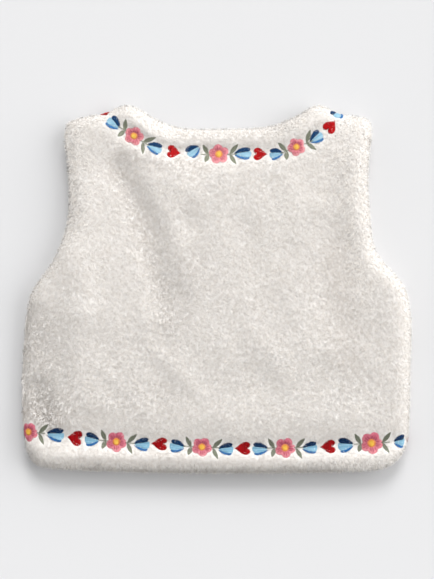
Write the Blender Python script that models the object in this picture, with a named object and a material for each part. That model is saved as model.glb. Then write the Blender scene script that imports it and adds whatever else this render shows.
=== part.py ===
"""Toddler's fleece vest, laid flat with its back up.

+X is the wearer's right, +Y points to the neck and +Z is up. The two fronts lie on
the surface and the back lies on them. The origin is on the surface, under the middle.
"""

from collections import namedtuple

import bmesh
import bpy
import numpy as np

# The cloth, in metres
FLEECE = 0.0095  # base cloth and pile together
SEAM_GAP = 0.0003  # between the back and the fronts
EDGE_ROLL = 0.0115  # how far in the outer face reaches its full height
TURNED_NOSE = 0.0042  # height of a turned edge's outermost line over the inner face
TURNED_ROLL = 0.0045  # how far in the inner face of a turned edge becomes flat
TURNED_RISE = 0.0016  # what the turned-in layer adds behind an edge
TURNED_PLACE = 0.0105  # where it adds most, in from the edge
TURNED_WIDTH = 0.0050

# The embroidered bands, which press the pile down
BAND_DEPTH = 0.0020
BAND_WIDTH = 0.0064

# The fronts
FRONT_PARTING = 0.0012  # between the two front edges
FRONT_HEM_INSET = 0.0020  # the fronts' hem lies this far inside the back's
FRONT_ARMHOLE_INSET = 0.0035  # their armholes are cut this much deeper
INSET_RAMP = 0.020  # length over which an inset grows from a seam's end
NOSE_RAMP = 0.016  # length over which a turned edge opens from a seam's end
NECK_SAG = 0.0065  # how deep the back sinks into the fronts' neck opening
NECK_SAG_START = 0.004  # in from the fronts' neck edge
NECK_SAG_RAMP = 0.030

# How finely the panels are divided
EDGE_ROWS = (0.0, 0.0009, 0.0034, 0.0072, 0.0115)
BAND_ROWS = (0.0148, 0.0178, 0.0210, 0.0242, 0.0275, 0.0320)
MIDDLE_STEP = 0.0088
FRONT_STEP = 0.0125
SPLINE_STEPS = 24
WELD = 1e-6

MM = 0.001
MIRROR = (-1, 1)

SIDES = ("left", "right")

# Each outline is a smooth curve through its points, (x, y) in millimetres from the
# middle of the laid vest. Sides, armholes and front necks run up, the rest runs right.
OUTLINES = {
    "hem": (
        (-142.0, -133.6),
        (-137.6, -136.6),
        (-124.6, -138.8),
        (-53.1, -141.6),
        (31.5, -142.2),
        (116.9, -140.6),
        (136.0, -139.0),
        (142.6, -135.6),
    ),
    "left side": (
        (-142.0, -133.6),
        (-146.6, -125.0),
        (-149.8, -105.0),
        (-150.0, -61.9),
        (-148.1, -28.1),
        (-146.2, -12.7),
        (-141.4, 1.8),
    ),
    "left armhole": (
        (-141.4, 1.8),
        (-135.0, 9.0),
        (-128.5, 17.3),
        (-122.6, 28.5),
        (-117.4, 42.0),
        (-114.2, 60.0),
        (-114.2, 80.0),
        (-116.2, 102.7),
        (-117.9, 116.0),
        (-116.2, 127.2),
    ),
    "right side": (
        (142.6, -135.6),
        (146.0, -127.0),
        (148.3, -98.0),
        (149.2, -57.3),
        (150.0, -29.6),
        (148.5, -11.2),
        (145.0, 1.2),
    ),
    "right armhole": (
        (145.0, 1.2),
        (138.4, 10.2),
        (128.8, 18.8),
        (121.8, 28.4),
        (119.1, 40.0),
        (117.6, 56.5),
        (116.2, 78.1),
        (116.4, 95.0),
        (118.3, 110.4),
        (119.6, 122.0),
        (117.4, 129.6),
    ),
    "left shoulder": (
        (-116.2, 127.2),
        (-107.7, 131.4),
        (-93.1, 134.2),
        (-85.0, 136.0),
        (-76.9, 139.6),
        (-70.0, 142.3),
    ),
    "right shoulder": (
        (78.1, 142.2),
        (85.2, 139.4),
        (91.6, 136.0),
        (98.5, 134.4),
        (110.5, 132.9),
        (117.4, 129.6),
    ),
    "neck": (
        (-70.0, 142.3),
        (-62.6, 140.2),
        (-53.8, 134.2),
        (-43.8, 128.9),
        (-34.4, 125.4),
        (-22.0, 123.4),
        (10.0, 123.5),
        (32.3, 124.1),
        (44.6, 126.2),
        (54.6, 130.0),
        (64.6, 134.4),
        (71.6, 140.0),
        (78.1, 142.2),
    ),
    "left front neck": (
        (-0.6, 70.0),
        (-4.0, 74.4),
        (-18.0, 76.0),
        (-38.0, 84.0),
        (-54.0, 100.0),
        (-63.0, 120.0),
        (-67.6, 136.0),
        (-70.0, 142.3),
    ),
    "right front neck": (
        (0.6, 70.0),
        (4.0, 74.4),
        (20.0, 76.0),
        (42.0, 84.0),
        (60.0, 100.0),
        (70.0, 120.0),
        (75.4, 136.0),
        (78.1, 142.2),
    ),
}
NECK_BAND = (
    (-92.0, 141.0),
    (-84.6, 133.0),
    (-72.0, 122.6),
    (-55.8, 112.7),
    (-33.5, 105.6),
    (1.2, 104.2),
    (32.8, 103.6),
    (50.0, 105.0),
    (67.7, 112.7),
    (86.9, 124.2),
    (96.0, 140.0),
)
HEM_BAND = (
    (-152.0, -109.6),
    (-109.6, -115.2),
    (-44.2, -119.4),
    (20.0, -122.4),
    (85.4, -121.4),
    (152.0, -117.6),
)

# The largest folds, as soft troughs and ridges along a bent line, in millimetres. Width
# is to each side, and a rise below zero is a trough. They fade out at both ends.
FOLD_TAPER = 0.7
Fold = namedtuple("Fold", "start middle end width rise")
FOLDS = (
    Fold((-80.0, 104.0), (-47.0, 44.0), (-26.0, -38.0), 11.0, -2.1),
    Fold((-92.0, 100.0), (-84.0, 30.0), (-74.0, -34.0), 15.0, 1.3),
    Fold((99.0, 98.0), (96.0, 30.0), (102.0, -46.0), 9.0, -1.9),
    Fold((117.0, 84.0), (121.0, 10.0), (134.0, -60.0), 10.0, 0.9),
    Fold((-44.0, 88.0), (-22.0, 82.0), (-4.0, 71.0), 8.0, 1.1),
    Fold((-34.0, 60.0), (-22.0, 50.0), (-8.0, 36.0), 12.0, -1.0),
    Fold((-52.0, -46.0), (-28.0, -64.0), (-4.0, -88.0), 7.0, 0.8),
    Fold((20.0, -30.0), (46.0, -56.0), (66.0, -90.0), 9.0, 0.7),
    Fold((-126.0, -30.0), (-122.0, -62.0), (-112.0, -92.0), 13.0, -1.3),
    Fold((54.0, 90.0), (60.0, 62.0), (56.0, 34.0), 12.0, 0.8),
    Fold((20.0, 62.0), (32.0, 20.0), (34.0, -20.0), 12.0, -0.7),
)

FLEECE_COLOUR = (0.83, 0.80, 0.77, 1.0)


def curve(knots):
    """Points close together on a smooth curve through the knots, in metres."""
    knots = np.array(knots, float) * MM
    steps = np.diff(knots, axis=0)
    spans = np.sqrt(np.linalg.norm(steps, axis=1))[:, None]
    slopes = steps / spans
    between = slopes[:-1] * spans[1:] + slopes[1:] * spans[:-1]
    between = between / (spans[:-1] + spans[1:])
    slopes = np.vstack([slopes[:1], between, slopes[-1:]])
    share = np.linspace(0, 1, SPLINE_STEPS, endpoint=False)[:, None]
    ahead = smooth(share)
    leave = share * (1 - share) ** 2
    arrive = -(share**2) * (1 - share)
    points = [
        start + step * ahead + span * (first * leave + last * arrive)
        for start, step, span, first, last in zip(
            knots, steps, spans, slopes, slopes[1:]
        )
    ]
    return np.vstack([*points, knots[-1:]])


def join(*curves):
    """Curves end to end, without the points that two of them share."""
    return np.vstack([c[:-1] for c in curves[:-1]] + [curves[-1]])


def lengths_of(line):
    steps = np.linalg.norm(np.diff(line, axis=0), axis=1)
    return np.concatenate([[0], np.cumsum(steps)])


def along(line, shares):
    """The points at these shares of a line's length."""
    run = lengths_of(line)
    places = np.array(shares) * run[-1]
    return np.stack([np.interp(places, run, line[:, axis]) for axis in (0, 1)], axis=-1)


def inset(line, depth, from_start, from_end):
    """The line moved to its left by a depth that grows over INSET_RAMP from a seam."""
    run = lengths_of(line)
    ahead = np.gradient(line, axis=0)
    ahead /= np.linalg.norm(ahead, axis=1)[:, None]
    to_left = np.stack([-ahead[:, 1], ahead[:, 0]], axis=-1)
    share = np.ones(len(line))
    if from_start:
        share = np.minimum(share, smooth(run / INSET_RAMP))
    if from_end:
        share = np.minimum(share, smooth((run[-1] - run) / INSET_RAMP))
    return line + to_left * (depth * share)[:, None]


def smooth(share):
    """0 to 1 with a gentle start and end."""
    share = np.clip(share, 0, 1)
    return share * share * (3 - 2 * share)


def quarter_round(share):
    """Height of a quarter round: 0 at its foot, 1 from its full depth on."""
    return np.sqrt(1 - (1 - np.clip(share, 0, 1)) ** 2)


def bell(distance, width):
    return np.exp(-((distance / width) ** 2))


def nearest(points, line):
    """Each point's distance to the line, and how far along it the nearest place is."""
    starts = line[:-1]
    steps = np.diff(line, axis=0)
    run = lengths_of(line)
    away = points[..., None, :] - starts
    share = (away * steps).sum(-1) / (steps**2).sum(-1)
    share = np.clip(share, 0, 1)
    gaps = np.linalg.norm(away - share[..., None] * steps, axis=-1)
    pick = gaps.argmin(-1)
    gap = np.take_along_axis(gaps, pick[..., None], -1)[..., 0]
    part = np.take_along_axis(share, pick[..., None], -1)[..., 0]
    return gap, run[pick] + part * np.diff(run)[pick]


def shares_across(width, from_start, from_end, step):
    """Shares of a width: close rows at both ends and even steps between them."""
    first = np.array(from_start)
    last = width - np.array(from_end)[::-1]
    between = int(round((last[0] - first[-1]) / step))
    middle = np.linspace(first[-1], last[0], between + 1)[1:-1]
    return np.concatenate([first, middle, last]) / width


def patch(left, right, bottom, top, across, up):
    """A grid of points that fills four curves, which meet at the corners."""
    u = across[None, :, None]
    v = up[:, None, None]
    low = along(bottom, across)[None]
    high = along(top, across)[None]
    west = along(left, up)[:, None]
    east = along(right, up)[:, None]
    corners = (1 - v) * ((1 - u) * bottom[0] + u * bottom[-1])
    corners = corners + v * ((1 - u) * top[0] + u * top[-1])
    return (1 - v) * low + v * high + (1 - u) * west + u * east - corners


def edge_noses(outline, seams):
    """The nose height along an outline: none on a seam, growing from a seam's end."""
    from_seam = np.minimum.reduce([nearest(outline, seam)[0] for seam in seams])
    return TURNED_NOSE * smooth(from_seam / NOSE_RAMP)


def folds_at(points):
    """How far the folds raise the cloth at these points."""
    rise = np.zeros(points.shape[:-1])
    for fold in FOLDS:
        line = curve((fold.start, fold.middle, fold.end))
        gap, place = nearest(points, line)
        share = np.clip(place / lengths_of(line)[-1], 0, 1)
        fade = np.sin(np.pi * share) ** FOLD_TAPER
        rise += fold.rise * MM * bell(gap, fold.width * MM) * fade
    return rise


def panel(name, grid, outline, seams, height_of, collection):
    """A closed panel from its grid: a lower and an upper face with shared edges."""
    gap, place = nearest(grid, outline)
    noses = edge_noses(outline, seams)
    nose = np.interp(place, lengths_of(outline), noses)
    edge = np.zeros(gap.shape, bool)
    edge[[0, -1], :] = True
    edge[:, [0, -1]] = True
    gap = np.where(edge, 0, gap)
    mesh = bmesh.new()
    rows, columns = gap.shape
    for z in height_of(grid, gap, nose):
        bmesh.ops.reverse_faces(mesh, faces=mesh.faces)
        made = bmesh.ops.create_grid(
            mesh, x_segments=columns - 1, y_segments=rows - 1, size=1
        )
        places = np.dstack([grid, z]).reshape(-1, 3)
        for vert, spot in zip(made["verts"], places):
            vert.co = spot
    bmesh.ops.remove_doubles(mesh, verts=mesh.verts, dist=WELD)
    data = bpy.data.meshes.new(name)
    mesh.to_mesh(data)
    mesh.free()
    data.shade_smooth()
    data.materials.append(fleece(name + "_fleece"))
    collection.objects.link(bpy.data.objects.new(name, data))


def fleece(name):
    material = bpy.data.materials.new(name)
    material.use_nodes = True
    shader = material.node_tree.nodes["Principled BSDF"]
    shader.inputs["Base Color"].default_value = FLEECE_COLOUR
    shader.inputs["Roughness"].default_value = 0.95
    shader.inputs["Metallic"].default_value = 0.0
    return material


def back_heights(neck_edges, bands):
    """The back's inner and outer heights, given the fronts' neck edges and the bands."""

    def heights(grid, gap, nose):
        from_front = np.minimum(*(nearest(grid, edge)[0] for edge in neck_edges))
        sag = NECK_SAG * smooth((from_front - NECK_SAG_START) / NECK_SAG_RAMP)
        ring = join(neck_edges[0], neck_edges[1][::-1], neck_edges[0][:1])
        foot = FLEECE + SEAM_GAP - np.where(inside(grid, ring), sag, 0)
        turned = TURNED_RISE * bell(gap - TURNED_PLACE, TURNED_WIDTH)
        turned = turned * nose / TURNED_NOSE
        from_band = np.minimum(*(nearest(grid, band)[0] for band in bands))
        pressed = BAND_DEPTH * bell(from_band, BAND_WIDTH)
        full = FLEECE + turned - pressed + folds_at(grid)
        outer = foot + nose + (full - nose) * quarter_round(gap / EDGE_ROLL)
        inner = foot + nose * (1 - quarter_round(gap / TURNED_ROLL))
        return inner, outer

    return heights


def front_heights(grid, gap, nose):
    """A front's outer and inner heights. Its outer face lies flat on the surface."""
    outer = (FLEECE - nose) * (1 - quarter_round(gap / EDGE_ROLL))
    inner = FLEECE - nose * (1 - quarter_round(gap / TURNED_ROLL))
    return outer, inner


def inside(points, ring):
    """Whether each point is inside a closed line."""
    x, y = points[..., 0, None], points[..., 1, None]
    x0, y0 = ring[:-1].T
    x1, y1 = ring[1:].T
    crosses = (y0 > y) != (y1 > y)
    rise = np.where(y1 == y0, 1, y1 - y0)
    hits = crosses & (x < x0 + (y - y0) * (x1 - x0) / rise)
    return hits.sum(-1) % 2 == 1


def cut_at(line, x):
    """The part of a line that runs rightwards up to x, with its last point there."""
    kept = line[line[:, 0] < x]
    end_y = np.interp(x, line[:, 0], line[:, 1])
    return np.vstack([kept, [x, end_y]])


def make_back(edges, collection):
    left = join(edges["left side"], edges["left armhole"])
    right = join(edges["right side"], edges["right armhole"])
    top = join(edges["left shoulder"], edges["neck"], edges["right shoulder"])
    hem = edges["hem"]
    rows = EDGE_ROWS + BAND_ROWS
    grid = patch(
        left,
        right,
        hem,
        top,
        shares_across(np.ptp(hem[:, 0]), EDGE_ROWS, EDGE_ROWS, MIDDLE_STEP),
        shares_across(top[0, 1] - hem[0, 1], rows, rows, MIDDLE_STEP),
    )
    outline = join(left, top, right[::-1], hem[::-1])
    seams = [edges[side + part] for side in SIDES for part in (" side", " shoulder")]
    heights = back_heights(
        (edges["left front neck"], edges["right front neck"]),
        (curve(NECK_BAND), curve(HEM_BAND)),
    )
    panel("back", grid, outline, seams, heights, collection)


def make_front(side, edges, collection):
    """One front. The right one is worked out as a left one in a mirror."""
    flank = edges[f"{side} side"]
    armhole = edges[f"{side} armhole"]
    shoulder = edges[f"{side} shoulder"]
    neck = edges[f"{side} front neck"]
    hem = edges["hem"]
    if side == "right":
        flank, armhole, neck = flank * MIRROR, armhole * MIRROR, neck * MIRROR
        shoulder, hem = shoulder[::-1] * MIRROR, hem[::-1] * MIRROR
    hem = inset(cut_at(hem, -FRONT_PARTING / 2), FRONT_HEM_INSET, True, False)
    armhole = inset(armhole, -FRONT_ARMHOLE_INSET, True, True)
    left = join(flank, armhole)
    right = join(np.linspace(hem[-1], neck[0], SPLINE_STEPS), neck)
    grid = patch(
        left,
        right,
        hem,
        shoulder,
        shares_across(np.ptp(hem[:, 0]), EDGE_ROWS, EDGE_ROWS, FRONT_STEP),
        shares_across(shoulder[0, 1] - hem[0, 1], EDGE_ROWS, EDGE_ROWS, FRONT_STEP),
    )
    outline = join(left, shoulder, right[::-1], hem[::-1])
    seams = [flank, shoulder]
    if side == "right":
        grid = grid[:, ::-1] * MIRROR
        outline = outline * MIRROR
        seams = [seam * MIRROR for seam in seams]
    panel(f"front_{side}", grid, outline, seams, front_heights, collection)


def build():
    for old in list(bpy.data.objects):
        bpy.data.objects.remove(old)
    collection = bpy.data.collections.new("fleece_vest")
    bpy.context.scene.collection.children.link(collection)
    edges = {name: curve(knots) for name, knots in OUTLINES.items()}
    make_back(edges, collection)
    for side in SIDES:
        make_front(side, edges, collection)


build()
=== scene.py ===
"""A toddler's fleece vest, laid flat with its back up: pile, stitched bands and light."""

import bmesh
import bpy
import numpy as np
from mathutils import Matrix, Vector
from mathutils.bvhtree import BVHTree
from mathutils.kdtree import KDTree


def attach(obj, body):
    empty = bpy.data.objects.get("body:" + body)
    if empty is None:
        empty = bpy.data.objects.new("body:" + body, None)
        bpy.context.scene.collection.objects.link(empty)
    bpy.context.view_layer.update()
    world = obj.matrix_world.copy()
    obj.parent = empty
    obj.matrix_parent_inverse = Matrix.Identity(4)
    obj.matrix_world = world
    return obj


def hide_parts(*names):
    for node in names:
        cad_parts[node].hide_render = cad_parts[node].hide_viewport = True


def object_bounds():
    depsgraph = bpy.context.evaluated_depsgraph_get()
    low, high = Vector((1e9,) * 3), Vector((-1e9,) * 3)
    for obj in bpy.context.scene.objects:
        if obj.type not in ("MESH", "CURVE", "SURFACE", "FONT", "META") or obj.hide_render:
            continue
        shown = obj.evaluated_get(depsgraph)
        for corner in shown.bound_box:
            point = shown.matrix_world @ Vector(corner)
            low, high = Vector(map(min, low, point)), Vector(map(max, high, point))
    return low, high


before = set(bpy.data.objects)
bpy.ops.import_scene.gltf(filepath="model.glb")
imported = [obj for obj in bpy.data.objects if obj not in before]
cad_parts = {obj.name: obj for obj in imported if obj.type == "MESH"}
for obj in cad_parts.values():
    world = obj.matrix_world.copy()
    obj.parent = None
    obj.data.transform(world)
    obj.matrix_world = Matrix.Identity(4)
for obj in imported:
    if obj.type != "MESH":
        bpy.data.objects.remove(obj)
cad_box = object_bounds()

MM = 0.001

# The camera looks straight down on the vest. The width of the vest in the photo sets its
# lens, and the vest's middle its place, both in the photo's pixels.
PHOTO_HEIGHT = 579
PHOTO_MIDDLE = (217.0, 289.5)
VEST_SIDES = (22.0, 412.0)  # where the photo shows the vest's two sides
VEST_MIDDLE = (217.0, 288.5)
CAMERA_HEIGHT = 1.60
WIDEST_HEIGHT = 10 * MM  # the side seams, where the vest is widest, over the floor

pixel = (cad_box[1][0] - cad_box[0][0]) / (VEST_SIDES[1] - VEST_SIDES[0])
camera_data = bpy.data.cameras.new("above")
camera_data.sensor_fit = "VERTICAL"
seen_height = PHOTO_HEIGHT * pixel
camera_data.lens = camera_data.sensor_height * (CAMERA_HEIGHT - WIDEST_HEIGHT) / seen_height
camera = bpy.data.objects.new("above", camera_data)
camera.location = (
    (PHOTO_MIDDLE[0] - VEST_MIDDLE[0]) * pixel,
    (VEST_MIDDLE[1] - PHOTO_MIDDLE[1]) * pixel,
    CAMERA_HEIGHT,
)
bpy.context.scene.collection.objects.link(camera)
bpy.context.scene.camera = camera
bpy.context.scene.view_settings.view_transform = "Standard"


# The vest lies on a wide sheet of white card. Card is smooth and matt, so it shows no
# gloss, and only the vest's soft shadows fall on it.
def linear(hex_colour):
    """An sRGB hex colour as linear red, green, blue and alpha."""
    parts = [int(hex_colour[i : i + 2], 16) / 255 for i in (1, 3, 5)]
    return [p / 12.92 if p <= 0.04045 else ((p + 0.055) / 1.055) ** 2.4 for p in parts] + [1.0]


def add_node(tree, kind, settings=(), links=()):
    """Adds a node, sets its properties and input values, and links its inputs.

    An input is given by its name, or by its number where names repeat.
    """
    node = tree.nodes.new(kind)
    for name, value in dict(settings).items():
        if isinstance(name, int) or name in node.inputs:
            node.inputs[name].default_value = value
        else:
            setattr(node, name, value)
    for name, source in dict(links).items():
        tree.links.new(source, node.inputs[name])
    return node


def new_material(name, settings):
    """A material with a Principled shader, and its tree and shader."""
    material = bpy.data.materials.new(name)
    material.use_nodes = True
    shader = material.node_tree.nodes["Principled BSDF"]
    for socket, value in settings.items():
        shader.inputs[socket].default_value = value
    return material, material.node_tree, shader


def link_object(name, data):
    """A new object with this data, placed in the scene."""
    thing = bpy.data.objects.new(name, data)
    bpy.context.scene.collection.objects.link(thing)
    return thing


FLOOR_SIDE = 3.0
UNDER_VEST = 0.2 * MM  # parts the card from the cloth that rests on it
CARD_GRAIN = 1.11 * MM  # coarser than real paper fibres, which are too fine to show
CARD_GRAIN_DEPTH = 0.2 * MM
card, card_tree, card_shader = new_material(
    "matt_white_card", {"Base Color": linear("#D8D8D9"), "Roughness": 0.9}
)
grain = add_node(card_tree, "ShaderNodeTexNoise", {"Scale": 1 / CARD_GRAIN, "Detail": 2.0})
bump = add_node(
    card_tree,
    "ShaderNodeBump",
    {"Strength": 0.05, "Distance": CARD_GRAIN_DEPTH},
    {"Height": grain.outputs["Fac"]},
)
card_tree.links.new(bump.outputs["Normal"], card_shader.inputs["Normal"])
floor_mesh = bmesh.new()
bmesh.ops.create_grid(floor_mesh, x_segments=8, y_segments=8, size=FLOOR_SIDE / 2)
floor_data = bpy.data.meshes.new("floor")
floor_mesh.to_mesh(floor_data)
floor_mesh.free()
floor_data.materials.append(card)
floor = link_object("floor", floor_data)
floor.location.z = -UNDER_VEST

# The room round it is white. Its walls at both sides send back more light than the
# ceiling, and it is paler at the neck side than at the hem side.
CEILING = 0.42
WALLS = 0.6
NECK_SIDE = 0.22
room = bpy.data.worlds.new("pale_room")
room.use_nodes = True
background = room.node_tree.nodes["Background"]
background.inputs["Color"].default_value = linear("#FFFFFF")
way_there = add_node(room.node_tree, "ShaderNodeTexCoord")
way_parts = add_node(
    room.node_tree, "ShaderNodeSeparateXYZ", (), {"Vector": way_there.outputs["Generated"]}
)
to_neck = add_node(
    room.node_tree,
    "ShaderNodeMath",
    {"operation": "MULTIPLY_ADD", 1: NECK_SIDE, 2: CEILING},
    {0: way_parts.outputs["Y"]},
)
to_sides = add_node(
    room.node_tree,
    "ShaderNodeMath",
    {"operation": "MULTIPLY"},
    {0: way_parts.outputs["X"], 1: way_parts.outputs["X"]},
)
room_light = add_node(
    room.node_tree,
    "ShaderNodeMath",
    {"operation": "MULTIPLY_ADD", 1: WALLS},
    {0: to_sides.outputs["Value"], 2: to_neck.outputs["Value"]},
)
room.node_tree.links.new(room_light.outputs["Value"], background.inputs["Strength"])
bpy.context.scene.world = room

# Two windows light it. For each: the way from the vest to it, its strength, and how wide it
# looks from there in degrees.
WINDOWS = {
    "window_at_neck_side": ((0.06, 0.76, 0.66), 1.85, 28),
    "broad_window_at_right": ((0.84, 0.26, 0.48), 1.85, 60),
}
for name, (way, strength, degrees) in WINDOWS.items():
    window = bpy.data.lights.new(name, "SUN")
    window.energy = strength
    window.angle = np.radians(degrees)
    window_light = link_object(name, window)
    window_light.rotation_euler = Vector(way).to_track_quat("Z", "Y").to_euler()

# The back and the two fronts are cut from teddy fleece. Its base cloth carries a dense
# curly pile, so each panel is a soft lumpy body on its solid's form, a pile's depth in.
PANELS = ("back", "front_left", "front_right")
SUBDIVISIONS = 2
WELD = 1e-6
# Two triangles become a quad where they bend and skew less than this, in radians.
QUAD_BEND = 1.2
QUAD_SKEW = 3.1


def smooth_copy(node):
    """A solid's form with its faces joined to quads and rounded between its points."""
    coarse = bmesh.new()
    coarse.from_mesh(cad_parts[node].data)
    bmesh.ops.remove_doubles(coarse, verts=coarse.verts, dist=WELD)
    bmesh.ops.join_triangles(
        coarse,
        faces=coarse.faces,
        angle_face_threshold=QUAD_BEND,
        angle_shape_threshold=QUAD_SKEW,
    )
    data = bpy.data.meshes.new(f"{node}_fleece")
    coarse.to_mesh(data)
    coarse.free()
    panel = link_object(f"{node}_fleece", data)
    rounding = panel.modifiers.new("rounding", "SUBSURF")
    rounding.levels = SUBDIVISIONS
    rounding.render_levels = SUBDIVISIONS
    rounded = panel.evaluated_get(bpy.context.evaluated_depsgraph_get())
    panel.data = bpy.data.meshes.new_from_object(rounded)
    panel.modifiers.clear()
    panel.data.shade_smooth()
    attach(panel, "root")
    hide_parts(node)
    return panel


def numbers_of(items, name):
    """One vector property of many mesh items, as rows."""
    rows = np.empty(len(items) * 3, np.float32)
    items.foreach_get(name, rows)
    return rows.reshape(-1, 3).astype(float)


def put_points(data, points):
    """Moves a mesh's points to these places."""
    data.vertices.foreach_set("co", points.astype(np.float32).ravel())
    data.update()


# Noise for the waves and lumps of the cloth: spots of one size, rounded and in no pattern.
LATTICE = 48
APART = 17.3  # spots from one shift of the noise to the next
rng = np.random.default_rng(7)
lattice = rng.random((LATTICE, LATTICE, LATTICE))


def mottle(points, size, shift=0):
    """Smooth noise from 0 to 1 at these points, with spots about this size."""
    spots = points / size + shift * APART
    whole = np.floor(spots).astype(int)
    part = spots - whole
    part = part * part * (3 - 2 * part)
    total = np.zeros(len(points))
    for corner in np.ndindex(2, 2, 2):
        share = np.prod(np.where(corner, part, 1 - part), axis=1)
        cell = (whole + corner) % LATTICE
        total += share * lattice[cell[:, 0], cell[:, 1], cell[:, 2]]
    return total


def flowing(knots):
    """Points about a millimetre apart on a smooth curve through the knots."""
    knots = np.array(knots, float)
    steps = np.diff(knots, axis=0)
    spans = np.sqrt(np.linalg.norm(steps, axis=1))[:, None]
    slopes = steps / spans
    between = (slopes[:-1] * spans[1:] + slopes[1:] * spans[:-1]) / (spans[:-1] + spans[1:])
    slopes = np.vstack([slopes[:1], between, slopes[-1:]])
    points = []
    for i, step in enumerate(steps):
        share = np.linspace(0, 1, int(np.linalg.norm(step)) + 2, endpoint=False)[:, None]
        ahead = share * share * (3 - 2 * share)
        leave = slopes[i] * spans[i] * share * (1 - share) ** 2
        arrive = slopes[i + 1] * spans[i] * share**2 * (1 - share)
        points.append(knots[i] + step * ahead + leave - arrive)
    return np.vstack([*points, knots[-1:]])


def smoothly(value, low, high):
    """0 up to low, 1 from high, and a smooth rise between them."""
    share = np.clip((value - low) / (high - low), 0, 1)
    return share * share * (3 - 2 * share)


# The solids have the largest folds. These go on top of them: the same ones a little
# sharper and the finer ones, as start, middle, end, width and rise in millimetres.
CREASES = (
    ((-88, 110), (-60, 57), (-36, -30), 10.5, -2.0),  # the deep fold from the left shoulder
    ((-66, 96), (-38, 54), (-20, -10), 8.0, 0.8),
    ((-110, 100), (-106, 30), (-100, -44), 14.0, 1.6),
    ((-62, 92), (-38, 82), (-6, 66), 6.5, 0.7),
    ((-30, 58), (-20, 50), (-8, 42), 8.0, -0.9),
    ((84, 66), (83, 14), (88, -52), 15.0, -1.8),  # the fold on the right
    ((106, 108), (103, 70), (107, 34), 11.0, 1.6),  # the right armhole's broad edge
    ((98, 132), (112, 124), (118, 104), 11.0, -1.8),  # the right shoulder falls away
    ((-110, -4), (-106, -50), (-98, -104), 13.0, 1.2),
    ((-148, -6), (-146, -60), (-140, -108), 18.0, -3.2),  # the dents at the lower left
    ((-140, -66), (-134, -86), (-127, -106), 10.0, -1.5),
    ((-60, -40), (-30, -64), (-4, -92), 6.0, 0.5),
    ((-100, -50), (-70, -78), (-40, -104), 7.0, 0.4),
    ((14, -20), (44, -50), (64, -92), 8.0, 0.4),
    ((52, 90), (62, 60), (58, 30), 9.0, 0.5),
    ((10, 60), (30, 30), (36, -24), 10.0, -0.5),
    ((-146, -90), (0, -98), (148, -96), 14.0, 1.2),  # the pile bulges above the hem band
    ((-10, 104), (45, 105), (86, 124), 6.0, 1.2),
    ((-150, -142), (-20, -145), (124, -144), 5.4, -2.6),  # the hem rolls under
)
CREASE_TAPER = 0.18  # of a crease's length, over which it fades out at each end
WAVE = 16 * MM
WAVE_RISE = 0.45 * MM
WAVE_SLANT = np.array([[0.85, 0.5, 0], [-0.3, 0.6, 0], [0, 0, 1.0]])  # they lie aslant
UPPER_SIDE = (0.0, 0.7)  # between these, a normal's z brings the creases in
# Beside the left armhole the two layers lie flatter: start, middle, end and width in
# millimetres, and the share of their height that they lose. The lower right corner is
# drawn in: its place, width and shift.
FLATTENED = ((-122, 130), (-118, 92), (-122, 48), 18.0, 0.25)
CORNER = (np.array([150.0, -143.0]), 17.0, np.array([-4.0, 6.0, 0.0]))


def along_line(points, line, width, taper=0.0):
    """1 on a smooth line, falling off with the distance to it and at its ends."""
    path = flowing(line) * MM
    gaps = np.linalg.norm(points[:, None, :2] - path[None, ::3], axis=2)
    nearest = gaps.argmin(axis=1)
    gap = gaps[np.arange(len(points)), nearest] / (width * MM)
    near = np.exp(-gap * gap)
    if taper:
        share = nearest / (gaps.shape[1] - 1)
        near *= smoothly(share, 0, taper) * smoothly(1 - share, 0, taper)
    return near


def settled(points):
    """The points as the vest lies, flatter beside the left armhole and its corner drawn in."""
    moved = points.copy()
    *line, width, lost = FLATTENED
    moved[:, 2] *= 1 - lost * along_line(points, line, width)
    spot, width, shift = CORNER
    gap = np.linalg.norm(points[:, :2] - spot * MM, axis=1) / (width * MM)
    return moved + np.exp(-gap * gap)[:, None] * shift * MM


def creased(points, normals):
    """The points moved by the creases and by the slight waves of a soft cloth."""
    rise = np.zeros(len(points))
    for *line, width, height in CREASES:
        rise += height * MM * along_line(points, line, width, CREASE_TAPER)
    rise += (mottle(points @ WAVE_SLANT, WAVE, 2) - 0.5) * 2 * WAVE_RISE
    moved = points.copy()
    moved[:, 2] += rise * smoothly(normals[:, 2], *UPPER_SIDE)
    return moved


fleece = {node: smooth_copy(node) for node in PANELS}
back_data = fleece["back"].data
back_points = numbers_of(back_data.vertices, "co")
put_points(back_data, creased(back_points, numbers_of(back_data.vertices, "normal")))

# The skin is all three panels as they lie, for the stitches to follow.
skin_points = []
skin_faces = []
for panel in fleece.values():
    start = sum(len(points) for points in skin_points)
    lying = settled(numbers_of(panel.data.vertices, "co"))
    put_points(panel.data, lying)
    skin_points.append(lying)
    skin_faces += [tuple(v + start for v in face.vertices) for face in panel.data.polygons]
skin = BVHTree.FromPolygons(np.vstack(skin_points).tolist(), skin_faces)

# The base cloth is knitted polyester, off-white and quite matt. It lies a pile's depth in
# and shows only as a soft ground between the tufts.
PILE = 0.9 * MM  # how deep the pile hides the base cloth
INSIDE_PILE = 0.4 * MM  # the same where the panels lie on each other
OPEN_SIDE = (-0.7, -0.15)  # between these, a normal's z goes from the inside to the open
LUMP = 2.2 * MM  # across the knitted rows of the base cloth, and twice that along them
LUMP_RISE = 0.08 * MM
LUMP_STRETCH = (0.5, 1, 1)
CLOTH_SPOT = 2.38 * MM  # about a tuft's width


def outward(node, normals):
    """1 where a panel faces the open air, and 0 where it faces the other panels."""
    up = normals[:, 2] if node == "back" else -normals[:, 2]
    return smoothly(up, *OPEN_SIDE)


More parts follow.
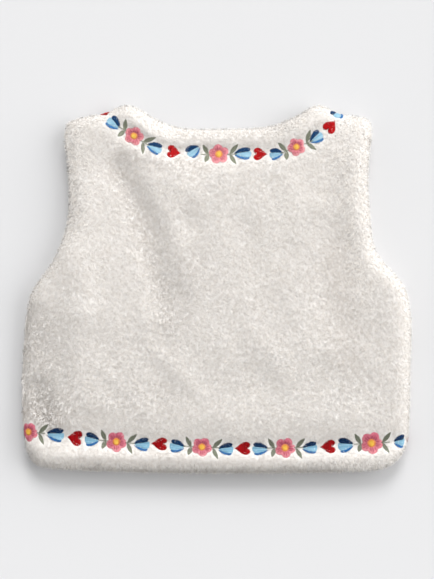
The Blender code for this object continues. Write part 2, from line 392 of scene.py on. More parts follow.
fleece_cloth, tree, shader = new_material(
    "off_white_base_cloth", {"Roughness": 0.95, "Sheen Weight": 0.2, "Sheen Roughness": 0.6}
)
place = add_node(tree, "ShaderNodeTexCoord")
spots = add_node(
    tree,
    "ShaderNodeTexNoise",
    {"Scale": 1 / CLOTH_SPOT, "Detail": 3.0},
    {"Vector": place.outputs["Object"]},
)
# its tones vary at random, and sit a little below the pile's white as painted shade deep in the
# pile
tones = add_node(tree, "ShaderNodeValToRGB", (), {"Fac": spots.outputs["Fac"]})
tones.color_ramp.elements[0].position = 0.35
tones.color_ramp.elements[0].color = linear("#E4DFDA")
tones.color_ramp.elements[1].position = 0.65
tones.color_ramp.elements[1].color = linear("#F4F1EE")
tree.links.new(tones.outputs["Color"], shader.inputs["Base Color"])

for node, panel in fleece.items():
    points = numbers_of(panel.data.vertices, "co")
    normals = numbers_of(panel.data.vertices, "normal")
    open_air = outward(node, normals)[:, None]
    depth = INSIDE_PILE + (PILE - INSIDE_PILE) * open_air
    lumps = (mottle(points * LUMP_STRETCH, LUMP)[:, None] - 0.5) * 2 * LUMP_RISE * open_air
    put_points(panel.data, points + normals * (lumps - depth))
    panel.data.materials.clear()
    panel.data.materials.append(fleece_cloth)


# Two embroidered bands, one 18 mm inside the neck edge and one 21 mm above the hem. Each
# runs on over the shoulders or the sides and is worked on the fronts as on the back.
# Knots in millimetres: x, y and about how high, from the left front round the back to
# the right front. Each is then moved to the nearest place on the cloth.
NECK_BAND = (
    (-6, 55, 0), (-24, 58, 0), (-47, 69, 0), (-68, 90, 0), (-80, 112, 0), (-85, 130, 0),
    (-87, 138, 9), (-84.4, 134, 19), (-79.1, 126.8, 20), (-63, 116.4, 20), (-47.8, 108.5, 20),
    (-32.5, 106.3, 20), (-17.4, 105.4, 20), (1.5, 104.8, 20), (19.9, 105, 20),
    (33.4, 104.5, 20), (45.9, 103.8, 20), (60.9, 108.4, 20), (75.9, 115.4, 20),
    (87.5, 125.1, 20), (91, 130.8, 19), (94.5, 138, 9), (94, 130, 0), (88, 112, 0),
    (76, 90, 0), (54, 69, 0), (28, 58, 0), (6, 55, 0),
)
HEM_BAND = (
    (-6, -119, 0), (-75, -117.5, 0), (-136, -112, 0), (-152, -110, 10), (-144, -110.4, 18),
    (-124.3, -112.6, 20), (-109.4, -114.8, 20), (-95.7, -116, 20), (-77.2, -117.4, 20),
    (-57.9, -119.4, 20), (-44.7, -119.1, 20), (-30.3, -120.8, 20), (-11.5, -121.3, 20),
    (6.5, -122.9, 20), (19.3, -122.5, 20), (33.5, -122.9, 20), (52.2, -122.1, 20),
    (70.9, -122.1, 20), (84.6, -121.2, 20), (99, -120.4, 20), (118.5, -118.7, 20),
    (140.3, -117.8, 20), (152, -117.8, 10), (136, -118.8, 0), (75, -120, 0), (6, -119, 0),
)
THREAD = 0.46 * MM  # as fine as can show, because machine thread measures 0.15 mm
THREAD_ROUND = 0.13 * MM  # how far a thread's middle stands over its sides
ROUND_AT_END = 0.4  # of that, where the thread dives in
SATIN_RISE = 0.75 * MM
STITCH_BED = -0.75 * MM  # where a stitch dives in, below the top of the pile
STATIONS = 5  # rows of points along a thread
SHORTEST = 0.4 * MM  # shorter threads are left out
UNEVEN = 0.12 * MM  # how far a stitch may end off the shape's edge
FULL_ARCH = 4 * MM  # a thread of this length rises to its full height
LEAST_ARCH = 0.35  # of that height, for the shortest
COVER_PARTS = (0.0, 0.25, 0.5, 0.75)  # from row to row, where the pile keeps clear of a thread
# What a stitch's tone comes from: the thread's own tone, a painted highlight on its ridge
# and painted shade on its motif's neck side
BY_THREAD = 0.4
PAINTED_HIGHLIGHT_BY_RIDGE = 0.25
PAINTED_SHADE_BY_SIDE = 0.35
ON_FLOOR = 0.6 * MM  # stitches closer to the floor than this are squeezed flat by it
SHADED_ACROSS = 14 * MM  # painted shade on a motif grows from its hem side to its neck side over this
NEAR = 2 * MM  # how far to both sides of a place the band's direction is read
FACES_UP = 0.3  # a normal's z on the back, away from the edges


def on_cloth(places, lift):
    """The nearest places on the cloth, lifted off it, and the way out of it there."""
    found = [skin.find_nearest(Vector(place))[:2] for place in places]
    spots = np.array([tuple(spot) for spot, way in found])
    ways = np.array([tuple(way) for spot, way in found])
    return spots + ways * np.reshape(lift, (-1, 1)), ways


class Band:
    """A line on the cloth, along which motifs are stitched."""

    def __init__(self, knots):
        line = flowing(knots) * MM
        self.points, self.ways = on_cloth(line, 0)
        steps = np.linalg.norm(np.diff(self.points, axis=0), axis=1)
        self.run = np.concatenate([[0], np.cumsum(steps)])

    def at(self, distance):
        """Place, direction along, direction across and direction out, at a distance."""

        def read(rows, where):
            return np.array([np.interp(where, self.run, column) for column in rows.T])

        ahead = read(self.points, distance + NEAR) - read(self.points, distance - NEAR)
        out = read(self.ways, distance)
        out /= np.linalg.norm(out)
        ahead -= out * (ahead @ out)
        ahead /= np.linalg.norm(ahead)
        return read(self.points, distance), ahead, np.cross(out, ahead), out

    def distance_of(self, x):
        """How far along the band passes over x on the back."""
        top = self.ways[:, 2] > FACES_UP
        return self.run[top][np.abs(self.points[top][:, 0] - x).argmin()]


class Stitches:
    """Threads gathered by colour until a band is complete."""

    def __init__(self, painted_light):
        self.painted_light = painted_light
        self.points = []
        self.cover = []
        self.faces = []
        self.colours = []
        self.light = []
        self.count = 0

    def satin(self, spot, shape, angle, colour, rise=SATIN_RISE, bed=STITCH_BED):
        """Fills a shape, given in metres round the spot, with threads side by side."""
        turn = np.radians(angle)
        cos, sin = np.cos(turn), np.sin(turn)
        shape = np.array(shape)
        u = shape[:, 0] * cos + shape[:, 1] * sin
        v = shape[:, 1] * cos - shape[:, 0] * sin
        v2, u2 = np.roll(v, -1), np.roll(u, -1)
        threads = []
        for row in np.arange(v.min() + THREAD / 2, v.max(), THREAD):
            cut = (v > row) != (v2 > row)
            meets = np.sort(u[cut] + (row - v[cut]) * (u2[cut] - u[cut]) / (v2[cut] - v[cut]))
            threads += [(a, b, row) for a, b in zip(meets[::2], meets[1::2]) if b - a > SHORTEST]
        self.threads(spot, threads, turn, colour, rise, bed, THREAD)

    def threads(self, spot, threads, turn, colour, rise, bed, spacing):
        """Each thread is a small arch that dives into the cloth at both ends."""
        if len(threads) == 0:
            return
        place, ahead, across, out = spot
        cos, sin = np.cos(turn), np.sin(turn)
        table = np.array(threads)
        table[:, :2] += rng.uniform(-UNEVEN, UNEVEN, (len(table), 2))
        share = (1 - np.cos(np.linspace(0, np.pi, STATIONS))) / 2
        u = table[:, :1] + (table[:, 1:2] - table[:, :1]) * share
        u = np.repeat(u[:, :, None], 3, axis=2)
        v = table[:, 2][:, None, None] + np.array([-0.5, 0, 0.5]) * spacing
        v = np.broadcast_to(v, u.shape)
        arch = np.sin(np.pi * share)[None, :, None]
        long = np.clip((table[:, 1] - table[:, 0]) / FULL_ARCH, LEAST_ARCH, 1)[:, None, None]
        ridge = np.array([0, 1, 0])
        roundness = ROUND_AT_END + (1 - ROUND_AT_END) * arch
        lift = bed + rise * arch * long + THREAD_ROUND * ridge * roundness
        x, y = u * cos - v * sin, u * sin + v * cos
        target = place + x[..., None] * ahead + y[..., None] * across
        spots, ways = on_cloth(target.reshape(-1, 3), np.broadcast_to(lift, u.shape).ravel())
        low = np.minimum(spots[:, 2] / ON_FLOOR, 1)
        spots[:, 2] = np.where(low < 1, ON_FLOOR * np.exp(low - 1), spots[:, 2])
        self.points.append(spots)
        middle = spots.reshape(len(table), STATIONS, 3, 3)[:, :, 1]
        for part in COVER_PARTS:
            between = middle[:, :-1] * (1 - part) + middle[:, 1:] * part
            self.cover.append(between.reshape(-1, 3))
        strip = np.arange(STATIONS * 3).reshape(STATIONS, 3)
        quads = np.stack([strip[:-1, :-1], strip[:-1, 1:], strip[1:, 1:], strip[1:, :-1]], -1)
        quads = quads.reshape(-1, 4)[:, ::-1]
        each = self.count + np.arange(len(table))[:, None, None] * STATIONS * 3
        self.faces.append((quads + each).reshape(-1, 4))
        self.colours += [colour] * len(quads) * len(table)
        tone = rng.random((len(table), 1, 1))
        # painted shade: a stitch is darker the nearer it lies to its motif's neck side
        neckward = np.clip(0.5 + y / SHADED_ACROSS, 0, 1)
        # a stitch's tone: the thread's own, a painted highlight on the ridge, painted shade on the
        # neck side, and painted light or shade for the whole band
        light = BY_THREAD * tone + PAINTED_HIGHLIGHT_BY_RIDGE * ridge + PAINTED_SHADE_BY_SIDE * (1 - neckward) + self.painted_light
        # its place in its colour's column of the OFBake map, away from the next one
        sideways = np.broadcast_to(0.15 + 0.3 * np.arange(3) + 0.1 * share[:, None], u.shape)
        self.light.append(np.stack([sideways, light], -1).reshape(-1, 2))
        self.count += len(spots)

    def sew(self, name):
        """All the threads as one object, with a material for each colour."""
        mesh = bpy.data.meshes.new(name)
        corners = np.vstack(self.faces)
        mesh.from_pydata(np.vstack(self.points).tolist(), [], corners.tolist())
        used = sorted(set(self.colours))
        for colour in used:
            mesh.materials.append(rayon[colour])
        index = np.array([used.index(colour) for colour in self.colours], np.int32)
        mesh.polygons.foreach_set("material_index", index)
        mesh.shade_smooth()
        light = np.vstack(self.light)
        attribute = mesh.attributes.new("thread", "FLOAT", "POINT")
        attribute.data.foreach_set("value", light[:, 1].astype(np.float32))
        spread = light[corners.ravel()]
        spread[:, 0] = (np.repeat(index, 4) + spread[:, 0]) / len(used)
        layer = mesh.uv_layers.new(name="OFBake")
        layer.data.foreach_set("uv", spread.astype(np.float32).ravel())
        piece = link_object(name, mesh)
        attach(piece, "root")
        return piece


# The thread is rayon: twisted, smooth and brighter than the fleece, so that it shines
# softly along its length. Its colour is painted darker in the grooves between the stitches,
# as painted shade, and paler on each thread's ridge, as a painted highlight. Painted shade
# also falls on the neck side of each motif, where the pile stands over it. Its twist is too
# fine to show. Each colour is given as painted shade in the groove and as a painted
# highlight where the thread catches the light.
THREAD_COLOURS = {
    "pink": ("#B4506A", "#F0A3A6"), "rose": ("#8E2C48", "#C2596E"),
    "yellow": ("#D9A238", "#F6CF62"), "orange": ("#C46E3C", "#EE9F62"),
    "red": ("#5E0005", "#C4020B"), "sky": ("#5E93AE", "#A6CCDF"),
    "blue": ("#174A7C", "#3C7FBE"), "navy": ("#041A35", "#1D4A78"),
    "sage": ("#5B5F52", "#939784"),
}
rayon = {}
# groove: the painted shade end of each ramp; lit: its painted highlight end
for colour_name, (groove, lit) in THREAD_COLOURS.items():
    rayon[colour_name], tree, shader = new_material(
        f"{colour_name}_rayon_thread",
        {"Roughness": 0.5, "IOR": 1.46, "Specular IOR Level": 0.15},
    )
    light = add_node(tree, "ShaderNodeAttribute", {"attribute_name": "thread"})
    tones = add_node(tree, "ShaderNodeValToRGB", (), {"Fac": light.outputs["Fac"]})
    tones.color_ramp.elements[0].color = linear(groove)
    tones.color_ramp.elements[1].color = linear(lit)
    tree.links.new(tones.outputs["Color"], shader.inputs["Base Color"])

# The motifs are common folk ones. Their sizes are in millimetres, along the band and
# across it.
ROUND = np.linspace(0, 2 * np.pi, 28, endpoint=False)


def turned_by(x, y, angle):
    """Points turned by an angle in degrees."""
    cos, sin = np.cos(np.radians(angle)), np.sin(np.radians(angle))
    return np.stack([x * cos - y * sin, x * sin + y * cos], -1)


def oval(middle, long, wide, angle=0.0):
    """Points round an oval, in metres, from sizes in millimetres."""
    return (turned_by(long * np.cos(ROUND), wide * np.sin(ROUND), angle) + middle) * MM


PETALS = 5
PETAL_OUT = 4.35  # from the flower's middle to a petal's
PETAL_RADIUS = 3.5
RING_RADIUS = 2.9
EYE_RADIUS = 1.95
PETAL_RISE = 0.8 * MM
LINE_RISE = 0.9 * MM
LINE_BED = 0.1 * MM
EYE_RISE = 0.6 * MM
RING_BED = -0.1 * MM
EYE_BED = 0.3 * MM
EYE_SLANT = 60  # degrees between the threads of the eye and of its ring
# Rose lines on a petal: from and to, out from the flower's middle, and how far aside
PETAL_LINES = ((3.0, 5.6, -1.4), (2.9, 6.4, 0.1), (3.0, 5.2, 1.6))


def flower(stitches, spot, size, start):
    """Five round petals with rose lines, and a yellow middle ringed with orange."""
    lines = np.array(PETAL_LINES) * np.mean(size) * MM
    for petal in range(PETALS):
        angle = start + petal * 360 / PETALS
        middle = turned_by(PETAL_OUT, 0, angle)
        petal_shape = oval(middle, PETAL_RADIUS, PETAL_RADIUS, angle) * size
        stitches.satin(spot, petal_shape, angle, "pink", PETAL_RISE)
        stitches.threads(spot, lines, np.radians(angle), "rose", LINE_RISE, LINE_BED, THREAD)
    ring = oval((0, 0), RING_RADIUS, RING_RADIUS) * size
    stitches.satin(spot, ring, start, "orange", EYE_RISE, RING_BED)
    eye = oval((0, 0), EYE_RADIUS, EYE_RADIUS) * size
    stitches.satin(spot, eye, start + EYE_SLANT, "yellow", EYE_RISE, EYE_BED)


LEAF_POINTS = 12  # along each side
LEAF_FULLNESS = 0.85  # under 1, a leaf is widest before its middle
LEAF_OVERLAP = 0.12  # of its halves, over the middle line
LEAF_SLANT = 42  # degrees between the threads and the middle line
LEAF_RISE = 0.45 * MM


def leaf(stitches, spot, angle, long, wide):
    """Two halves of slanting threads, which meet on the leaf's middle line."""
    share = np.linspace(0, 1, LEAF_POINTS)
    side = np.sin(np.pi * share**LEAF_FULLNESS) * wide / 2
    x = np.concatenate([share, share[::-1]]) * long
    for way in (1, -1):
        y = way * np.concatenate([side, np.full(LEAF_POINTS, -LEAF_OVERLAP)])
        points = turned_by(x, y, angle) * MM
        stitches.satin(spot, points, angle + way * LEAF_SLANT, "sage", LEAF_RISE)


STEM = (6.5, 14.0)  # from and to, along the band from the flower's middle
STEM_RISE = 0.3 * MM
STEM_BED = -0.45 * MM
STEM_THREAD = THREAD * 1.3


def stem(stitches, spot, side):
    """A long thread along the band, on one side of the flower."""
    line = [(*sorted(side * end * MM for end in STEM), 0.0)]
    stitches.threads(spot, line, 0.0, "sage", STEM_RISE, STEM_BED, STEM_THREAD)


# A tulip's petals, each by its corners: x from the tip and y to the neck side
TULIP_LENGTH = 10.6
NECKWARD_PETAL = (
    (0, 0), (1.8, 2.4), (4.4, 4.6), (7.4, 5.3), (10.0, 4.4), (9.8, 2.6), (8.2, 1.4), (4.0, 0.7),
)
MIDDLE_PETAL = (
    (0.2, 0), (4.0, 1.0), (8.2, 1.7), (10.2, 2.2),
    (10.7, 0.2), (10.1, -2.4), (7.8, -3.2), (4.0, -2.2),
)
HEMWARD_PETAL = (
    (0.2, -0.2), (4.0, -2.1), (7.6, -3.1), (9.6, -2.6),
    (9.2, -4.3), (7.0, -4.8), (3.6, -3.6), (1.4, -1.7),
)
# In the order that they are sewn: corners, slant of the threads in degrees and colour
TULIP_PETALS = (
    (HEMWARD_PETAL, -24, "blue"), (NECKWARD_PETAL, 24, "navy"), (MIDDLE_PETAL, 0, "sky"),
)


def rounded(points):
    """A closed shape through a few corner points, with its corners rounded."""
    points = np.array(points, float)
    for _ in range(2):
        after = np.roll(points, -1, axis=0)
        points = np.stack([0.75 * points + 0.25 * after, 0.25 * points + 0.75 * after], 1)
        points = points.reshape(-1, 2)
    return points


def tulip(stitches, spot, size, way):
    """Three petals that open away from the tip. Way 1 has its tip at the start."""
    for corners, slant, colour in TULIP_PETALS:
        shape = (rounded(corners) - (TULIP_LENGTH / 2, 0)) * size * (way, 1) * MM
        stitches.satin(spot, shape, way * slant, colour)


HEART_LENGTH = 11.5
HEART_WIDTH = 10.2
HEART_RISE = 0.85 * MM


def heart(stitches, spot, size, way):
    """A plump heart with its point at the start for way 1, by the usual heart curve."""
    t = ROUND
    long = (13 * np.cos(t) - 5 * np.cos(2 * t) - 2 * np.cos(3 * t) - np.cos(4 * t) + 2.5) / 29
    wide = np.sin(t) ** 3 / 2
    shape = np.stack([way * long * HEART_LENGTH, wide * HEART_WIDTH], -1) * size * MM
    stitches.satin(spot, shape, 90, "red", HEART_RISE)


# The motifs that the back shows, by kind, x in millimetres and size along and across the
# band, because no two are sewn quite alike. Both bands go on in the same order over the
# edges and along the fronts, in even steps.
NECK_MOTIFS = (
    ("tulip", -79.1, 1.2, 1.05), ("flower", -63.4, 0.98, 0.92), ("tulip", -48.4, 1.23, 0.95),
    ("heart", -32.5, 0.95, 1.0), ("tulip", -17.3, 1.12, 1.05), ("flower", 1.4, 1.0, 1.03),
    ("tulip", 19.9, 1.31, 1.0), ("heart", 33.4, 0.95, 0.97), ("tulip", 45.9, 1.04, 0.95),
    ("flower", 60.9, 0.9, 0.9), ("tulip", 75.9, 1.12, 1.0), ("heart", 87.5, 1.0, 1.0),
)
HEM_MOTIFS = (
    ("flower", -144.5, 1.0, 0.97), ("tulip", -124.3, 1.34, 1.15), ("heart", -109.4, 1.03, 1.2),
    ("tulip", -95.7, 1.1, 1.12), ("flower", -77.0, 1.0, 1.06), ("tulip", -57.9, 1.2, 1.1),
    ("heart", -44.7, 1.12, 0.98), ("tulip", -30.3, 1.15, 1.06), ("flower", -11.5, 1.0, 0.98),
    ("tulip", 6.5, 1.16, 1.0), ("heart", 19.3, 1.1, 1.0), ("tulip", 33.5, 1.21, 1.04),
    ("flower", 52.2, 1.02, 1.04), ("tulip", 70.9, 1.16, 0.98), ("heart", 84.6, 1.05, 1.05),
    ("tulip", 99.0, 1.2, 1.22), ("flower", 118.5, 1.1, 1.15), ("tulip", 140.4, 1.0, 1.1),
)
ORDER = ("flower", "tulip", "heart", "tulip")
REPEAT = len(ORDER)
USUAL_SIZE = {"flower": (1.0, 1.0), "tulip": (1.15, 1.05), "heart": (1.0, 1.0)}
STEPS = (19.4 * MM, 13.2 * MM, 13.6 * MM, 19.4 * MM)  # from each of these to the next
BAND_END = 9 * MM  # left plain at each front edge
# Leaves: how far along from the flower, the way they point, their length and their width
LEAVES = (
    (8.4, 50, 10.8, 3.5), (8.4, -60, 9.8, 3.1),
    (-8.2, 116, 9.6, 3.5), (-8.2, 250, 7.2, 3.6),
)


def embroider(knots, motifs, heart_way, first_petal, painted_light):
    """A whole band of motifs, from one front edge round the back to the other."""
    band = Band(knots)
    first = 0 if motifs[0][0] == "flower" else REPEAT - 1
    row = [(first + i, band.distance_of(m[1] * MM), m[2:]) for i, m in enumerate(motifs)]
    place, distance, _ = row[0]
    while distance - STEPS[(place - 1) % REPEAT] > BAND_END:
        place -= 1
        distance -= STEPS[place % REPEAT]
        row.insert(0, (place, distance, USUAL_SIZE[ORDER[place % REPEAT]]))
    place, distance, _ = row[-1]
    while distance + STEPS[place % REPEAT] < band.run[-1] - BAND_END:
        distance += STEPS[place % REPEAT]
        place += 1
        row.append((place, distance, USUAL_SIZE[ORDER[place % REPEAT]]))
    stitches = Stitches(painted_light)
    for place, distance, size in row:
        spot = band.at(distance)
        kind = ORDER[place % REPEAT]
        if kind == "tulip":
            # its tip points to the flower beside it
            tulip(stitches, spot, size, 1 if place % REPEAT == 1 else -1)
        elif kind == "heart":
            heart(stitches, spot, size, heart_way)
        else:
            for side in (1, -1):
                stem(stitches, spot, side)
            for side, angle, long, wide in LEAVES:
                leaf(stitches, band.at(distance + side * MM), angle, long, wide)
            flower(stitches, spot, size, first_petal)
    return stitches


# The hem band's threads are painted darker, as painted shade, and the neck band's paler,
# as painted light. The neck band's hearts point to
# the wearer's right and the hem band's to the left, and each flower has a petal that
# points almost straight to its band's edge.
neck_threads = embroider(
    NECK_BAND, NECK_MOTIFS, heart_way=-1, first_petal=98, painted_light=0.15
)
hem_threads = embroider(
    HEM_BAND, HEM_MOTIFS, heart_way=1, first_petal=278, painted_light=-0.12
)
neck_embroidery = neck_threads.sew("neck_embroidery")
hem_embroidery = hem_threads.sew("hem_embroidery")
sewn = np.vstack([*neck_threads.cover, *hem_threads.cover])


# The pile is curly polyester in small tufts, brushed and sheared. Each fibre is a bent
# blade that stands in the base cloth and leans into its tuft, and none grows through the
# stitches. Polyester fibre is off-white and soft: light passes through it and it has a
# faint sheen, so that the pile glows where it is thin and darkens only deep in the tufts.
TUFT = 2.1 * MM
TUFT_FILL = 0.8  # of a tuft's square is its own
FIBRES = {"back": 130000, "front_left": 24000, "front_right": 24000}
UNDERSIDE_SHARE = 0.45  # the fronts' undersides have this much, because the floor hides it
UNDERSIDE = (0.5, 0.9)  # between these, a downward normal's z brings that share in
FIBRE_WIDTH = 0.36 * MM  # real ones are too fine to show, so one stands for several
FIBRE_WIDTHS = (0.8, 1.2)  # of that width, from fibre to fibre
FIBRE_HEIGHT = 1.8 * MM
TUFT_HEIGHTS = (0.88, 1.1)  # of that height, from tuft to tuft
SINGLE_HEIGHTS = (0.8, 1.12)  # and from fibre to fibre
FIBRE_ROOT = 0.5 * MM  # below the base cloth
GATHER = 0.35  # of the way to its tuft's middle, for a fibre's tip
TUFT_LEAN = 0.35 * MM  # a tuft's fibres lean about this far one way together
FIBRE_LEAN = 0.8 * MM  # and each about this far by itself
HEM_LEAN = 0.5 * MM  # the whole pile falls a little to the hem
BEND_HEIGHT = 0.72  # of a fibre's height
BEND_LEAN = 0.3  # of its tip's lean
BEND_WIDTH = 0.9  # of its root's width
SWIRL = 0.5 * MM  # how far its bend goes aside
TIP_OVER_FLOOR = 0.15 * MM
CLEAR_OF_THREAD = 0.75 * MM  # no fibre grows closer to a stitch
PRESSED_BY_THREAD = 2.6 * MM  # from here on out, a fibre has its full height
PRESSED_HEIGHT = 0.45  # of its height, beside a stitch
LIGHT_THROUGH = 0.4  # the share of light that passes through a fibre
SURFACE_SHARE = 0.9  # how far a fibre is lit like the cloth that it stands on
LIT_FROM_ABOVE = 1.5  # the fibres that stick out at an edge catch the light of the room
EDGE = (-0.5, 0.3)  # between these, a downward normal's z brings that light in
HEM_SIDE = (0.3, 0.9)  # between these, a hemward normal's y takes it away, in the hem's shade
PAINTED_SHADE_RANGE = 0.5  # of the range of tones, for painted shade where the pile closes up
POINT_HEIGHTS = np.array([0, 0, 0.7, 0.7, 1.0])  # how far up a blade its five points are
MARGIN = 0.01  # of the OFBake map, left free at its edges
SIDES_APART = 0.005  # of the OFBake map, from a blade's middle to each side

fibre, tree, shader = new_material(
    "off_white_curly_pile", {"Roughness": 0.9, "Sheen Weight": 0.25, "Sheen Roughness": 0.5}
)
height = add_node(tree, "ShaderNodeAttribute", {"attribute_name": "pile"})
parts = add_node(tree, "ShaderNodeSeparateXYZ", (), {"Vector": height.outputs["Vector"]})
# painted shade: each blade is darker towards its root, deep in the pile, and darkest where the pile
# closes up
deep = add_node(tree, "ShaderNodeValToRGB", (), {"Fac": parts.outputs["Y"]})
deep.color_ramp.elements[0].color = linear("#8C7F73")
deep.color_ramp.elements[1].color = linear("#FFFEFC")
deep.color_ramp.elements.new(PAINTED_SHADE_RANGE).color = linear("#ECE7E2")
tuft_tone = add_node(tree, "ShaderNodeValToRGB", (), {"Fac": parts.outputs["X"]})
tuft_tone.color_ramp.elements[0].color = linear("#FAF8F5")
tuft_tone.color_ramp.elements[1].color = linear("#FFFFFF")
both = add_node(
    tree,
    "ShaderNodeMix",
    {"data_type": "RGBA", "blend_type": "MULTIPLY", "Factor": 1.0},
    {6: deep.outputs["Color"], 7: tuft_tone.outputs["Color"]},
)
tree.links.new(both.outputs[2], shader.inputs["Base Color"])
glow = add_node(tree, "ShaderNodeBsdfTranslucent", (), {"Color": both.outputs[2]})
mixed = add_node(
    tree,
    "ShaderNodeMixShader",
    {"Fac": LIGHT_THROUGH},
    {1: shader.outputs["BSDF"], 2: glow.outputs["BSDF"]},
)
tree.links.new(mixed.outputs["Shader"], tree.nodes["Material Output"].inputs["Surface"])

# Where hands have smoothed the pile, it lies a little one way or the other and looks paler
# or darker, as velvet does, and in the dents it closes up and its colour is darkened as
# painted shade: start, middle, end and width in millimetres, how far it turns to the neck
# and the wearer's right, or away from them below zero, and how much painted shade it takes.
BRUSHED = (
    ((-100, 90), (0, 70), (80, 90), 40.0, 0.09, 0.0),  # paler to the neck
    ((-102, 120), (-97, 64), (-94, 0), 13.0, 0.14, 0.0),  # and along the left side
    ((-32, 86), (8, 85), (48, 88), 8.0, -0.24, 0.0),  # below the neck band
    ((-34, 117), (0, 116), (36, 116), 4.0, -0.22, 0.0),  # and above it
    ((-110, -66), (0, -70), (110, -66), 30.0, -0.1, 0.0),  # darker to the hem
    ((-136, -32), (-133, -70), (-130, -105), 12.5, -0.3, 0.1),  # the lower left
    ((-135, -90), (-130, -97), (-125, -104), 14.0, -0.3, 0.2),
    ((-142, -97), (-135, -101), (-126, -103), 8.0, 0.0, 0.35),
    ((-109, -87), (-75, -88), (-36, -86), 14.0, -0.15, 0.1),
    ((-76, 90), (-55, 36), (-36, -32), 9.5, -0.27, 0.2),  # beside the deep fold
    ((-24, 31), (-23, 6), (-22, -18), 7.0, -0.15, 0.1),
    ((-38, 79), (-32, 76), (-27, 72), 10.0, 0.3, 0.0),
    ((-71, 103), (-42, 97), (-10, 95), 7.0, -0.3, 0.2),  # under the neck band's left half
    ((90, 24), (95, -9), (99, -55), 13.0, 0.0, 0.25),  # the fold on the right
    ((100, 108), (108, 60), (110, 4), 11.0, 0.75, 0.0),  # the right armhole
    ((102, 126), (108, 118), (115, 106), 9.0, 0.8, 0.0),
    ((82, 103), (84, 80), (86, 62), 9.0, 0.25, 0.0),
    ((50, 103), (48, 64), (45, 22), 17.0, 0.25, 0.0),
    ((-105, 60), (-100, 37), (-92, 14), 11.0, 0.25, 0.0),
    ((-110, 123), (-107, 84), (-111, 44), 10.0, 0.7, 0.0),  # the left armhole
    ((35, 123), (48, 123), (64, 127), 6.0, 0.7, 0.0),  # the right of the neck
    ((-109, -130), (-51, -130), (56, -130), 4.0, -0.2, 0.15),  # above the hem
    ((142, -9), (143, -40), (142, -70), 5.0, 0.25, 0.0),
    ((94, -130), (118, -132), (136, -126), 7.0, 0.9, 0.0),
    ((-132, -128), (-121, -133), (-105, -135), 4.5, 0.4, 0.0),
    ((-104, -134), (0, -135), (104, -134), 2.6, 0.5, 0.0),
)
BRUSHED_WAY = np.array([0.57, 0.82, 0.0])


def brushed(points):
    """How far the pile turns at these points, as a sideways vector, and its painted shade."""
    turned = np.zeros((len(points), 3))
    painted_shade = np.zeros(len(points))
    for *line, width, turn, shade_share in BRUSHED:
        near = along_line(points, line, width)
        turned += near[:, None] * turn * BRUSHED_WAY
        painted_shade += near * shade_share
    return turned, np.clip(painted_shade, 0, 1)


sewn_tree = KDTree(len(sewn))
for i, point in enumerate(sewn):
    sewn_tree.insert(point, i)
sewn_tree.balance()


def scatter(node, count):
    """Places on a panel's outside with the normals there, evenly by area."""
    data = fleece[node].data
    points = numbers_of(data.vertices, "co")
    normals = numbers_of(data.vertices, "normal")
    corners = np.empty(len(data.loops), np.int32)
    data.loops.foreach_get("vertex_index", corners)
    corners = corners.reshape(-1, 4)
    a, b, c, d = (points[corners[:, i]] for i in range(4))
    area = np.linalg.norm(np.cross(c - a, d - b), axis=1) / 2
    face_normals = normals[corners].mean(axis=1)
    wanted = outward(node, face_normals)
    if node != "back":
        wanted *= 1 - (1 - UNDERSIDE_SHARE) * smoothly(-face_normals[:, 2], *UNDERSIDE)
    chance = np.cumsum(area * wanted)
    even = (np.arange(count) + rng.random(count)) / count
    face = np.minimum(np.searchsorted(chance, even * chance[-1]), len(chance) - 1)
    u, v = rng.random((2, count, 1))
    weights = ((1 - u) * (1 - v), u * (1 - v), u * v, (1 - u) * v)
    roots = sum(w * points[corners[face, i]] for i, w in enumerate(weights))
    ways = sum(w * normals[corners[face, i]] for i, w in enumerate(weights))
    return roots, ways / np.linalg.norm(ways, axis=1)[:, None], chance[-1]


def unit(rows):
    """Each row at length 1."""
    return rows / np.maximum(np.linalg.norm(rows, axis=1), 1e-9)[:, None]


def grow(node):
    """Roots, bends, tips and half widths of a panel's fibres."""
    roots, ways, area = scatter(node, FIBRES[node])
    centres, _, _ = scatter(node, int(area / (TUFT * TUFT * TUFT_FILL)))
    tuft_tree = KDTree(len(centres))
    for i, centre in enumerate(centres):
        tuft_tree.insert(centre, i)
    tuft_tree.balance()
    tuft = np.array([tuft_tree.find(root)[1] for root in roots])
    threads = np.array([sewn_tree.find(root)[2] for root in roots])
    kept = threads > CLEAR_OF_THREAD
    roots, ways, tuft, threads = roots[kept], ways[kept], tuft[kept], threads[kept]
    curl = rng.normal(0, 1, (len(centres), 3))[tuft]
    tall = rng.uniform(*TUFT_HEIGHTS, len(centres))[tuft] * rng.uniform(*SINGLE_HEIGHTS, len(roots))
    free = smoothly(threads, CLEAR_OF_THREAD, PRESSED_BY_THREAD)
    tall = (FIBRE_HEIGHT * tall * (PRESSED_HEIGHT + (1 - PRESSED_HEIGHT) * free))[:, None]
    lean = (centres[tuft] - roots) * GATHER + curl * TUFT_LEAN
    lean += rng.normal(0, FIBRE_LEAN, roots.shape)
    lean[:, 1] -= HEM_LEAN
    lean -= ways * np.sum(lean * ways, axis=1)[:, None]
    base = roots - ways * FIBRE_ROOT
    tips = roots + ways * tall + lean
    sideways = unit(np.cross(lean, ways))
    swirl = sideways * rng.normal(0, SWIRL, (len(roots), 1))
    bends = roots + ways * tall * BEND_HEIGHT + lean * BEND_LEAN + swirl
    for part in (bends, tips):
        part[:, 2] = np.maximum(part[:, 2], TIP_OVER_FLOOR)
    wide = sideways * FIBRE_WIDTH / 2 * rng.uniform(*FIBRE_WIDTHS, (len(roots), 1))
    tone = rng.random(len(centres))[tuft]
    return base, bends, tips, wide, ways, tone


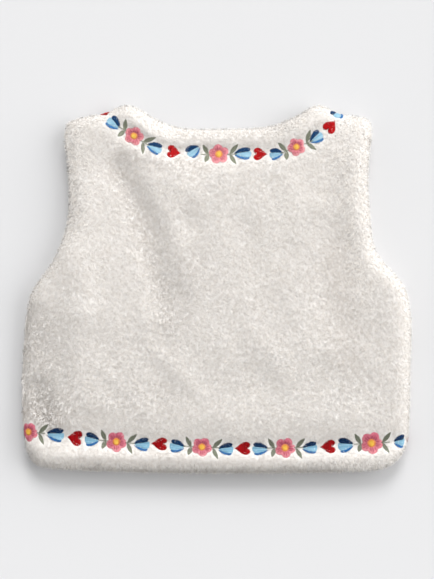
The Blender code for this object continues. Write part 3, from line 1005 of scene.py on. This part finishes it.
def pile(name, blades, turned, painted_shade):
    """Blades as one mesh: five points each, lit mostly like the cloth below them."""
    base, bends, tips, wide, ways, tone = blades
    count = len(base)
    # each blade is a four-sided face from its root to its bend, and a three-sided tip
    at_bend = wide * BEND_WIDTH
    points = np.stack([base - wide, base + wide, bends + at_bend, bends - at_bend, tips], 1)
    start = np.arange(count)[:, None] * 5
    loops = (start + np.array([0, 1, 2, 3, 3, 2, 4])).ravel()
    data = bpy.data.meshes.new(name)
    data.vertices.add(count * 5)
    data.vertices.foreach_set("co", points.astype(np.float32).ravel())
    data.loops.add(count * 7)
    data.loops.foreach_set("vertex_index", loops.astype(np.int32))
    data.polygons.add(count * 2)
    starts = (np.arange(count)[:, None] * 7 + np.array([0, 4])).ravel()
    data.polygons.foreach_set("loop_start", starts.astype(np.int32))
    data.update(calc_edges=True)
    data.polygons.foreach_set("use_smooth", np.ones(count * 2, bool))
    blade_normals = np.cross(wide, tips - base)
    blade_normals = unit(blade_normals) * np.sign(np.sum(blade_normals * ways, axis=1))[:, None]
    lit = ways * SURFACE_SHARE + blade_normals * (1 - SURFACE_SHARE)
    at_hem = smoothly(-ways[:, 1], *HEM_SIDE)
    lit[:, 2] += LIT_FROM_ABOVE * smoothly(-ways[:, 2], *EDGE) * (1 - at_hem)
    lit = unit(unit(lit) + turned)
    data.normals_split_custom_set_from_vertices(np.repeat(lit, 5, axis=0).astype(np.float32))
    # painted shade: the colour is darker low on a blade and where the pile closes up
    along = PAINTED_SHADE_RANGE + (1 - PAINTED_SHADE_RANGE) * POINT_HEIGHTS
    along = along * (1 - np.broadcast_to(painted_shade, count)[:, None])
    read = np.stack([np.broadcast_to(tone[:, None], (count, 5)), along, along * 0], -1)
    # its place in the OFBake map, by the tuft's tone and the height on the blade
    spread = MARGIN + (1 - 2 * MARGIN) * read[..., :2]
    spread[..., 0] += np.array([-1, 1, 1, -1, 0]) * SIDES_APART
    attribute = data.attributes.new("pile", "FLOAT_VECTOR", "POINT")
    attribute.data.foreach_set("vector", read.astype(np.float32).ravel())
    layer = data.uv_layers.new(name="OFBake")
    layer.data.foreach_set("uv", spread.reshape(-1, 2)[loops].astype(np.float32).ravel())
    data.materials.append(fibre)
    piece = link_object(name, data)
    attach(piece, "root")
    return piece


for node in PANELS:
    blades = grow(node)
    if node == "back":
        upper = blades[0][:, 1] > np.median(blades[0][:, 1])
        turned, painted_shade = brushed(blades[0])
        for part, chosen in (("upper", upper), ("lower", ~upper)):
            name = f"pile_back_{part}"
            grown = [rows[chosen] for rows in blades]
            pile(name, grown, turned[chosen], painted_shade[chosen])
    else:
        name = f"pile_{node}"
        pile(name, blades, 0, 0)
